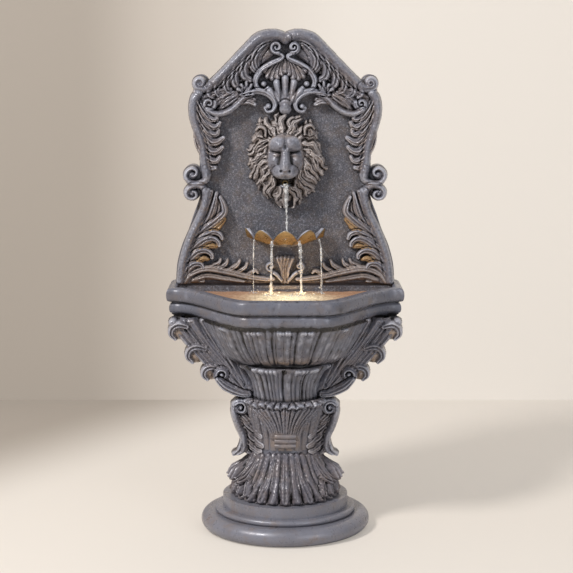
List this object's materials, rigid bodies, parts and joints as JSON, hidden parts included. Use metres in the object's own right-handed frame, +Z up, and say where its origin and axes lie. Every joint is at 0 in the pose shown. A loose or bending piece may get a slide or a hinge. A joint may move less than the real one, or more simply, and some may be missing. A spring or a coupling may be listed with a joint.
{
  "type": "floor fountain",
  "caption": "Free-standing floor fountain: a lion mask on a carved back panel spills into a shell bowl and a fluted basin on a leaf pedestal.",
  "frame": {"origin": "on the floor under the middle of the plinth and of the basin's rim", "axes": "+Z up, the front with the lion's face looks towards -Y, +X to the viewer's right"},
  "size_m": [0.608, 0.4319, 1.27],
  "materials": {
    "bronze_stone": "satin, dark blue-grey bronze with darker recesses",
    "tan_bronze_stone": "satin, bronze dusted with tan",
    "light_bronze_stone": "satin, worn blue-grey highlights",
    "gilt_stone": "satin, golden bronze",
    "steel": "brushed",
    "brass": "satin",
    "clear_vinyl": "clear flexible",
    "black_plastic": "fine grain",
    "white_plastic": "moulded",
    "red_plastic": "moulded",
    "rubber": "matte",
    "circuit_board": "solder mask",
    "lamp_lens": "clear, warm"
  },
  "bodies": {
    "root": {"base_plinth": "bronze_stone", "pedestal_core": "bronze_stone", "pedestal_bolts": "steel", "skirt_leaves": "bronze_stone", "bell_leaves": "light_bronze_stone", "waist_clasp": "tan_bronze_stone", "scroll_bracket_left": "bronze_stone", "scroll_bracket_right": "bronze_stone", "basin_shell": "bronze_stone", "side_leaf_left": "tan_bronze_stone", "side_leaf_right": "tan_bronze_stone", "pump_screen": "bronze_stone", "back_panel": "bronze_stone", "panel_screws": "steel", "rear_cover": "black_plastic", "cover_screws": "steel", "crest_carving": "bronze_stone", "crest_palmette": "light_bronze_stone", "side_frame_left": "bronze_stone", "side_frame_right": "bronze_stone", "lower_garland": "tan_bronze_stone", "lower_palmette": "bronze_stone", "lion_mane": "tan_bronze_stone", "lion_face": "light_bronze_stone", "spout_nozzle": "brass", "shell_bowl": "gilt_stone", "shell_screws": "steel", "water_tube": "clear_vinyl", "tube_clips": "black_plastic", "pump_body": "black_plastic", "impeller_shaft": "steel", "volute_cover": "black_plastic", "intake_cover": "black_plastic", "suction_feet": "rubber", "lamp_bracket": "steel", "bracket_screws": "steel"},
    "impeller": {"impeller": "white_plastic"},
    "flow_gate": {"flow_gate": "red_plastic"},
    "drain_stopper": {"drain_stopper": "rubber"},
    "lamp_head": {"lamp_housing": "black_plastic", "led_board": "circuit_board", "lamp_lens": "lamp_lens", "lamp_bezel": "steel"}
  },
  "joints": [
    {"name": "impeller_spin", "type": "hinge", "parent": "root", "child": "impeller", "pos_m": [0.03, 0.133, 0.485], "axis": [1, 0, 0], "continuous": true},
    {"name": "flow_gate_slide", "type": "slide", "parent": "root", "child": "flow_gate", "axis": [0, 0, -1], "range_m": [0, 0.008]},
    {"name": "stopper_pull", "type": "slide", "parent": "root", "child": "drain_stopper", "axis": [0, 0, 1], "range_m": [0, 0.04]},
    {"name": "lamp_tilt", "type": "hinge", "parent": "root", "child": "lamp_head", "pos_m": [0, 0.073, 0.53], "axis": [1, 0, 0], "range_deg": [-30, 60]}
  ]
}
